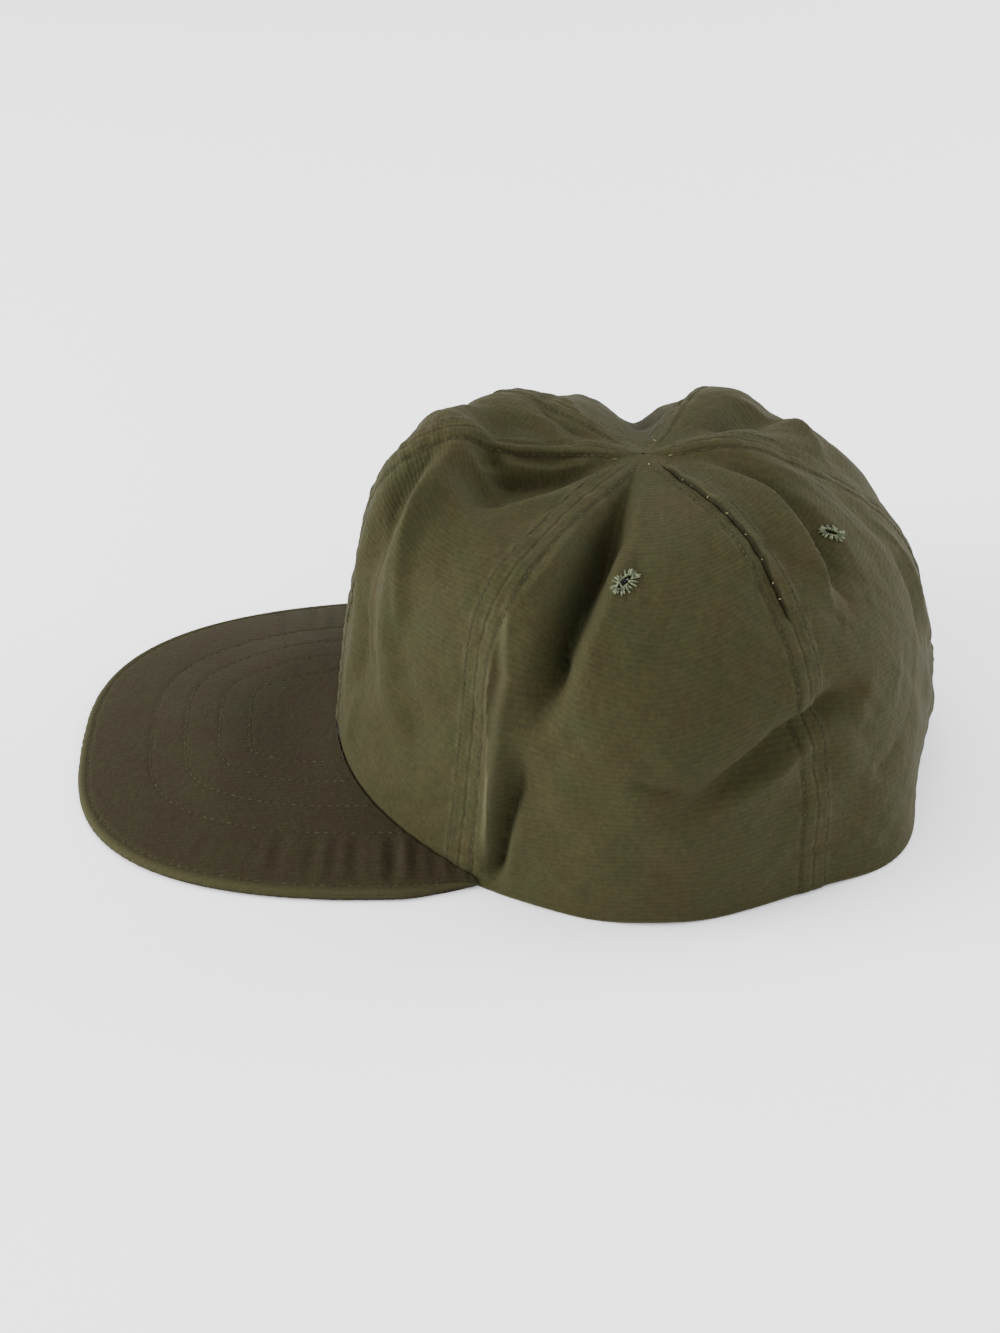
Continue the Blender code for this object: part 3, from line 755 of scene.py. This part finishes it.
def visor_shell():
    """The visor's two layers, its puffs between the rows, its gathers and its round edge."""
    turns = np.linspace(-90, 90, EDGE_FINE_STEPS)
    length = np.linalg.norm(np.diff(visor_edge(turns), axis=0), axis=1).cumsum()
    along_edge = np.linspace(0, length[-1], VISOR_COLUMNS + 1)
    across = -np.interp(along_edge, length, turns[1:])[None, :] / 90
    across[0, 0] = 1
    from_end = np.minimum(along_edge, along_edge[::-1])[None, :]
    outward = (1 - (1 - np.linspace(0, 1, VISOR_ROWS + 1)) ** VISOR_CROWDING)[:, None]
    across, outward = np.broadcast_arrays(across, outward)
    top = visor_place(across, outward, 1)
    under = visor_place(across, outward, 0)
    distance, along = (value.reshape(across.shape) for value in from_edge(top.reshape(-1, 3)))

    groove = sum(bell(distance - row, VISOR_ROW_WIDTH) for row in ROWS_FROM_EDGE)
    puff = VISOR_PUFF * np.sin(np.pi * np.clip(distance / ROWS_FROM_EDGE[1], 0, 1)) * (1 - groove)
    relief = puff - VISOR_ROW_GROOVE * groove
    outer_row, next_row = ROWS_FROM_EDGE[:2]
    between = np.sin(np.pi * np.clip((distance - outer_row) / (next_row - outer_row), 0, 1))
    gather = GATHER_HEIGHT * between * bell(along, GATHER_REACH) * ripple(along, GATHER_LENGTH, GATHER_SEED)
    rise = sum(r.height * bell(top[..., 0] - r.x, r.half_x) * bell(top[..., 1] - r.y, r.half_y)
               for r in VISOR_RISES)

    # The edge is round, and thinner where the visor's ends run out under the crown
    rounding = np.clip(1 - distance / EDGE_ROUND, 0, 1)
    drop = EDGE_ROUND * (1 - np.sqrt(1 - rounding ** 2))
    drop = np.maximum(drop, EDGE_ROUND * EDGE_DROP * smooth_step(1 - from_end / END_TAPER))
    top[..., 2] += relief + gather + rise - drop
    under[..., 2] = np.maximum(under[..., 2] - 0.5 * relief * (distance > EDGE_ROUND), 0) + drop * EDGE_DROP
    pull_in = CORNER_PULL * smooth_step(1 - from_end / CORNER_REACH) * outward * np.sign(across)
    top[..., 0] -= pull_in
    under[..., 0] -= pull_in

    # Painted shade along the rows of stitching; the round edge and the rows are pale with wear
    wear_and_highlight = EDGE_RUBBED * bell(distance, EDGE_RUBBED_WIDTH) + VISOR_ROW_WORN * groove
    marks = {"groove": np.clip(VISOR_ROW_PAINTED_SHADE * groove, 0, 1), "wear_and_highlight": wear_and_highlight}
    cloth_place = np.stack([top[..., 1], top[..., 0]], -1)
    return cloth_shell("visor_cloth", top, under, cloth_place, marks, visor_cloth)


# The visor's cotton is a darker, browner copy of the crown's
visor_cloth = cotton("olive_cotton_visor_darker", "#201d0e", "#211a0e", "#3d3e23", 0.88)
visor_piece = visor_shell()
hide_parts("visor")
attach(visor_piece, "root")

# The topstitching: two rows of lockstitch beside each seam of the crown and five round the visor, in a thin
# cotton thread of the cloth's own colour. Each stitch is pulled into the cloth at both ends. The visor's
# stitches are longer, for its board.
STITCH_PITCH = 0.0021
STITCH_LENGTH = 0.0016
STITCH_WIDTH = 0.00042
STITCH_SINK = 0.00006
STITCH_UNEVEN = 0.08
STITCH_PROUD = (0.1, 0.3)
STITCH_LENGTHS = (0.88, 1.08)
PLY_MM = 1.1
SEAM_ROW_ENDS = (0.012, 0.965)
SEAM_ROW_STEPS = 150
SEAM_ROW_SEED = 60
VISOR_STITCH_PITCH = STITCH_PITCH * 1.25
VISOR_STITCH_LENGTH = STITCH_LENGTH * 1.15
VISOR_ROW_SEED = 80
# A visor row stops where it would come nearer the edge than it should, or run on behind the crown's foot
ROW_NEAREST = 0.995
ROW_BEHIND = 0.002


def cotton_thread(name, colour, pale, roughness):
    """Spun cotton thread: matt, with two tones where its plies turn over."""
    material, tree, shader = new_material(name, roughness)
    where = add_node(tree, "ShaderNodeTexCoord").outputs["Object"]
    plies = add_node(tree, "ShaderNodeTexNoise",
                     {"Vector": where, "Scale": per_metre(PLY_MM), "Detail": 3.0})
    share = add_node(tree, "ShaderNodeMapRange",
                     {"Value": plies.outputs["Fac"], "From Min": 0.42, "From Max": 0.6})
    tones = add_node(tree, "ShaderNodeMix",
                     {"Factor": share.outputs["Result"], "A": linear(colour), "B": linear(pale)},
                     data_type="RGBA")
    bump = add_node(tree, "ShaderNodeBump",
                    {"Height": plies.outputs["Fac"], "Strength": 0.4, "Distance": 0.0001})
    tree.links.new(tones.outputs["Result"], shader.inputs["Base Color"])
    tree.links.new(bump.outputs["Normal"], shader.inputs["Normal"])
    shader.inputs["Specular IOR Level"].default_value = 0.12
    return material


def add_stitch(mesh, middle, along, outward, length, width):
    """One stitch as a slim spindle that lies along the cloth."""
    along = Vector(along).normalized()
    side = Vector(outward).cross(along).normalized()
    upright = along.cross(side)
    shape = Matrix((side * width / 2, upright * width / 2, along * length / 2)).transposed().to_4x4()
    bmesh.ops.create_uvsphere(mesh, u_segments=6, v_segments=4, radius=1,
                              matrix=Matrix.Translation(middle) @ shape)


def thread_piece(name, mesh, material, slot, *nodes):
    """Finishes a mesh of threads as a piece."""
    data = bpy.data.meshes.new(name)
    mesh.to_mesh(data)
    mesh.free()
    data.shade_smooth()
    data.materials.append(material)
    made = add_object(name, data)
    if nodes:
        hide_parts(*nodes)
    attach(made, "root")
    return made


def sew_line(mesh, line, normals, dice, length=STITCH_LENGTH, width=STITCH_WIDTH, pitch=STITCH_PITCH):
    """Stitches along a line of places on the cloth, all of one pitch but not quite even."""
    place = np.concatenate([[0], np.cumsum(np.linalg.norm(np.diff(line, axis=0), axis=1))])

    def place_at(distance, values):
        return np.array([np.interp(distance, place, column) for column in values.T])

    for start in np.arange(pitch / 2, place[-1], pitch):
        at = start + dice.uniform(-STITCH_UNEVEN, STITCH_UNEVEN) * pitch
        outward = place_at(at, normals)
        middle = place_at(at, line) + outward * (width * dice.uniform(*STITCH_PROUD) - STITCH_SINK)
        run = place_at(at + pitch / 4, line) - place_at(at - pitch / 4, line)
        add_stitch(mesh, Vector(middle), run, outward, length * dice.uniform(*STITCH_LENGTHS), width)


seam_thread = cotton_thread("olive_cotton_thread", "#242313", "#373523", 0.85)
for number, seam in enumerate(SEAMS):
    dice = np.random.default_rng(SEAM_ROW_SEED + number)
    rows = bmesh.new()
    for side in (-1, 1):
        up = np.linspace(*SEAM_ROW_ENDS, SEAM_ROW_STEPS)
        radius = crown_radius(smooth_crown(seam.azimuth, up))
        azimuth = seam.azimuth + side * np.degrees(ROW_OFFSET / (radius + APEX_CROWD))
        sew_line(rows, sewn_crown(azimuth, up), slope_normal(folded_crown, azimuth, up), dice)
    thread_piece("topstitching_" + seam.name, rows, seam_thread, "thread")

visor_mesh = bmesh.new()
visor_mesh.from_mesh(visor_piece.data)
visor_tree = BVHTree.FromBMesh(visor_mesh)
visor_mesh.free()
dice = np.random.default_rng(VISOR_ROW_SEED)
rows = bmesh.new()
edge = visor_edge(np.linspace(-90, 90, EDGE_STEPS))
inward = np.gradient(edge, axis=0)
inward = np.stack([-inward[:, 1], inward[:, 0]], -1) / np.linalg.norm(inward, axis=1, keepdims=True)
for row in ROWS_FROM_EDGE:
    line = edge + inward * row
    distance, _ = from_edge(line)
    keep = (distance > row * ROW_NEAREST) & (line[:, 1] < edge[0, 1] + ROW_BEHIND)
    places, normals = [], []
    for x, y in line[keep]:
        hit, normal, _, _ = visor_tree.ray_cast(Vector((x, y, CROWN_HEIGHT)), Vector((0, 0, -1)))
        if hit is not None:
            places.append(hit)
            normals.append(normal)
    sew_line(rows, np.array(places), np.array(normals), dice, VISOR_STITCH_LENGTH, pitch=VISOR_STITCH_PITCH)
thread_piece("topstitching_visor", rows, seam_thread, "thread")

# The pale stitches: the seams themselves are sewn in a lighter thread, and the ends of its stitches show
# where a seam gapes, and as a few specks where all the seams meet at the apex.
PALE_PITCH = 0.0075
PALE_LENGTH = 0.0013
PALE_WIDTH = 0.00042
PALE_LIFT = 0.0003
PALE_MISSING = 0.12
PALE_UNEVEN = 0.0024
PALE_SLANT = 0.5
PALE_LENGTHS = (0.7, 1.1)
PALE_STEPS = 200
PALE_SEED = 88
PALE_FROM_ENDS = (0.02, 0.03)
APEX_LIFT = 0.0002
Speck = namedtuple("Speck", "azimuth up turn")
APEX_SPECKS = [
    Speck(20.0, 0.965, 70),
    Speck(95.0, 0.972, 10),
    Speck(160.0, 0.96, 110),
    Speck(-120.0, 0.965, 40),
]

pale_thread = cotton_thread("pale_seam_thread", "#4f4c34", "#6c6948", 0.85)
dice = np.random.default_rng(PALE_SEED)
specks = bmesh.new()
for seam in SEAMS:
    if not seam.gape_to:
        continue
    up = np.linspace(seam.gape_from + PALE_FROM_ENDS[0], seam.gape_to - PALE_FROM_ENDS[1], PALE_STEPS)
    line = folded_crown(seam.azimuth, up)
    normals = slope_normal(folded_crown, seam.azimuth, up)
    length = np.concatenate([[0], np.linalg.norm(np.diff(line, axis=0), axis=1).cumsum()])
    for place in np.arange(PALE_PITCH / 2, length[-1], PALE_PITCH):
        if dice.uniform() < PALE_MISSING:
            continue
        k = np.searchsorted(length, place + dice.uniform(-PALE_UNEVEN, PALE_UNEVEN))
        k = min(max(k, 1), len(line) - 2)
        onward = Vector(line[k + 1] - line[k - 1]).normalized()
        outward = Vector(normals[k])
        across = outward.cross(onward) + onward * dice.uniform(-PALE_SLANT, PALE_SLANT)
        add_stitch(specks, Vector(line[k]) + outward * PALE_LIFT, across, outward,
                   PALE_LENGTH * dice.uniform(*PALE_LENGTHS), PALE_WIDTH)
for speck in APEX_SPECKS:
    place = Vector(sewn_crown(np.array(speck.azimuth), np.array(speck.up)))
    aim = Vector((np.cos(np.radians(speck.turn)), np.sin(np.radians(speck.turn)), 0))
    add_stitch(specks, place + Vector((0, 0, APEX_LIFT)), aim, Vector((0, 0, 1)), PALE_LENGTH, PALE_WIDTH)
thread_piece("seam_stitches_pale", specks, pale_thread, "thread")

# The eyelets: a small hole through each side and back gore, bound with thick grey green buttonhole thread.
# The cloth is pinched there, so the hole is a slit with threads across it, and the binding frays on its
# lower side. The tilt turns its long way up from level, and the bridge is where the threads cross the slit.
Eyelet = namedtuple("Eyelet", "name gore azimuth up long wide tilt bridge")
EYELETS = [
    Eyelet("eyelet_side_left", "crown_side_left", 76.0, 0.74, 0.0108, 0.0060, 38, -0.13),
    Eyelet("eyelet_back_left", "crown_back_left", 147.0, 0.71, 0.0084, 0.0056, -34, 0.30),
    Eyelet("eyelet_side_right", "crown_side_right", -77.0, 0.70, 0.0080, 0.0066, -20, 0.30),
    Eyelet("eyelet_back_right", "crown_back_right", -147.0, 0.71, 0.0078, 0.0064, 24, -0.10),
]
EYELET_SEED = 90
# The hole's half length and half width, as shares of the eyelet's, and how near a wall must be to be cut
HOLE_LONG = 0.25
HOLE_WIDE = 0.13
WALL_REACH = 0.006
FAR_OUT = 9.0
BINDING_THREADS = 24
BINDING_WIDTH = 0.00062
BINDING_UNEVEN = 0.09
BINDING_SKEW = 0.12
BINDING_STARTS = (-0.05, 0.1)
BINDING_ENDS = (0.6, 0.95)
BINDING_LIFTS = (0.0001, 0.0003)
BINDING_OVERLAP = 1.15
# Turns round the eyelet, in radians from level, between which the binding has frayed
FRAYED_FROM = -1.9
FRAYED_TO = 0.2
FRAYED_ENDS = (0.9, 1.2)
FRAYED_LIFTS = (0.0001, 0.0005)
PURL_SHARE = 0.1
PURL_TURN = 0.3
PURL_LIFT = 0.0004
PURL_LENGTH = 0.0011
BRIDGE_SLANTS = (0, 0.07)
BRIDGE_HALF = 0.3
BRIDGE_LIFT = 0.0003


def eyelet_seat(eyelet):
    """The eyelet's place on the cloth, with its long way, its short way and outwards as axes."""
    azimuth, up = np.array(eyelet.azimuth), np.array(eyelet.up)
    outward = Vector(slope_normal(folded_crown, azimuth, up))
    level = Vector((0, 0, 1)).cross(outward).normalized()
    upright = outward.cross(level)
    tilt = np.radians(eyelet.tilt)
    major = level * np.cos(tilt) + upright * np.sin(tilt)
    seat = Matrix((major, outward.cross(major), outward)).transposed().to_4x4()
    seat.translation = Vector(sewn_crown(azimuth, up))
    return seat


def cut_hole(data, seat, half):
    """Cuts an oval hole through both skins of a gore and joins them round it."""
    to_seat = seat.inverted()

    def share_out(place):
        """How far out a place lies, where 1 is the hole's edge. Places on other walls are far out."""
        local = to_seat @ place
        if abs(local.z) > WALL_REACH:
            return FAR_OUT
        return Vector((local.x / half.x, local.y / half.y)).length

    cloth = bmesh.new()
    cloth.from_mesh(data)
    inside = [face for face in cloth.faces if share_out(face.calc_center_median()) < 1]
    bmesh.ops.delete(cloth, geom=inside, context="FACES")
    edges = [edge for edge in cloth.edges if edge.is_boundary]
    for vertex in {vertex for edge in edges for vertex in edge.verts}:
        local = to_seat @ vertex.co
        local.xy /= share_out(vertex.co)
        vertex.co = seat @ local
    bmesh.ops.bridge_loops(cloth, edges=edges)
    cloth.to_mesh(data)
    cloth.free()


def on_ring(eyelet, seat, turn, share):
    """A place between the hole's edge, at share 0, and the binding's outer edge, at share 1."""
    long = eyelet.long * (HOLE_LONG + (0.5 - HOLE_LONG) * share)
    wide = eyelet.wide * (HOLE_WIDE + (0.5 - HOLE_WIDE) * share)
    return seat @ Vector((np.cos(turn) * long, np.sin(turn) * wide, 0))


def binding(eyelet, seat, dice):
    """The threads round an eyelet's hole, the purls along its edge and the two threads across it."""
    outward = seat.col[2].xyz
    tilt = np.radians(eyelet.tilt)
    ring = bmesh.new()
    for turn in np.arange(BINDING_THREADS) * 2 * np.pi / BINDING_THREADS:
        turn += dice.uniform(-BINDING_UNEVEN, BINDING_UNEVEN)
        from_level = np.arctan2(np.sin(turn + tilt), np.cos(turn + tilt))
        frayed = FRAYED_FROM < from_level < FRAYED_TO
        inner = on_ring(eyelet, seat, turn, dice.uniform(*BINDING_STARTS))
        skew = dice.uniform(-BINDING_SKEW, BINDING_SKEW)
        outer = on_ring(eyelet, seat, turn + skew, dice.uniform(*(FRAYED_ENDS if frayed else BINDING_ENDS)))
        lift = dice.uniform(*(FRAYED_LIFTS if frayed else BINDING_LIFTS))
        add_stitch(ring, (inner + outer) / 2 + outward * lift, outer - inner, outward,
                   (outer - inner).length * BINDING_OVERLAP, BINDING_WIDTH)
        purl = on_ring(eyelet, seat, turn, PURL_SHARE) + outward * PURL_LIFT
        onward = on_ring(eyelet, seat, turn + PURL_TURN, PURL_SHARE) - purl
        add_stitch(ring, purl, onward, outward, PURL_LENGTH, BINDING_WIDTH)
    for slant in BRIDGE_SLANTS:
        start = seat @ Vector((eyelet.long * (eyelet.bridge + slant), eyelet.wide * BRIDGE_HALF, 0))
        end = seat @ Vector((eyelet.long * (eyelet.bridge - slant), -eyelet.wide * BRIDGE_HALF, 0))
        add_stitch(ring, (start + end) / 2 + outward * BRIDGE_LIFT, end - start, outward,
                   (end - start).length, BINDING_WIDTH)
    return ring


binding_thread = cotton_thread("grey_green_buttonhole_thread", "#3a3f30", "#62684f", 0.78)
for number, eyelet in enumerate(EYELETS):
    seat = eyelet_seat(eyelet)
    half = Vector((eyelet.long * HOLE_LONG, eyelet.wide * HOLE_WIDE))
    cut_hole(gores[eyelet.gore].data, seat, half)
    ring = binding(eyelet, seat, np.random.default_rng(EYELET_SEED + number))
    thread_piece(eyelet.name + "_thread", ring, binding_thread, "thread", eyelet.name)

# The table: a plain board, painted pale and matt. It is wider than the picture, and the cap stands on it by
# its own rim and the edge of its visor.
TABLE_HALF = 6.0
table_mesh = bmesh.new()
bmesh.ops.create_grid(table_mesh, x_segments=1, y_segments=1, size=TABLE_HALF)
table_data = bpy.data.meshes.new("table")
table_mesh.to_mesh(table_data)
table_mesh.free()
table = add_object("table", table_data)
board, _, paint = new_material("pale_painted_board", 0.7)
paint.inputs["Base Color"].default_value = linear("#fafafc")
table_data.materials.append(board)

# The light: a white room with soft windows. The one that the cap faces is the brightest, and the others,
# behind the cap, beside the camera and overhead, fill in its shade.
room = bpy.data.worlds.new("white_room")
room.use_nodes = True
room.node_tree.nodes["Background"].inputs["Color"].default_value = linear("#eef0f4")
room.node_tree.nodes["Background"].inputs["Strength"].default_value = 1.88
bpy.context.scene.world = room
Lamp = namedtuple("Lamp", "name place size power")
LAMPS = [
    Lamp("window_front", (0.1, -1.6, 0.5), 1.0, 66),
    Lamp("window_back", (-0.5, 1.6, 0.7), 1.0, 40),
    Lamp("window_side", (1.7, 0.3, 0.3), 1.0, 16),
    Lamp("skylight", (-0.35, -0.30, 1.5), 0.8, 12),
]
for lamp in LAMPS:
    light = bpy.data.lights.new(lamp.name, "AREA")
    light.size = lamp.size
    light.energy = lamp.power
    holder = add_object(lamp.name, light)
    holder.location = lamp.place
    holder.rotation_euler = (-Vector(lamp.place)).to_track_quat("-Z", "Y").to_euler()

# The camera: at the wearer's left, looking down at the cap from a third of a metre above the table. Its lens
# and its place come from the outlines of the rim and the visor.
CAMERA_PLACE = Vector((0.4915, -0.0784, 0.3579))
CAMERA_AIM = Vector((-0.0031, -0.0438, 0.0234))
view = bpy.data.cameras.new("camera")
view.lens = 52.66
view.sensor_width = 36
camera = add_object("camera", view)
camera.location = CAMERA_PLACE
camera.rotation_euler = (CAMERA_AIM - CAMERA_PLACE).to_track_quat("-Z", "Y").to_euler()
bpy.context.scene.camera = camera
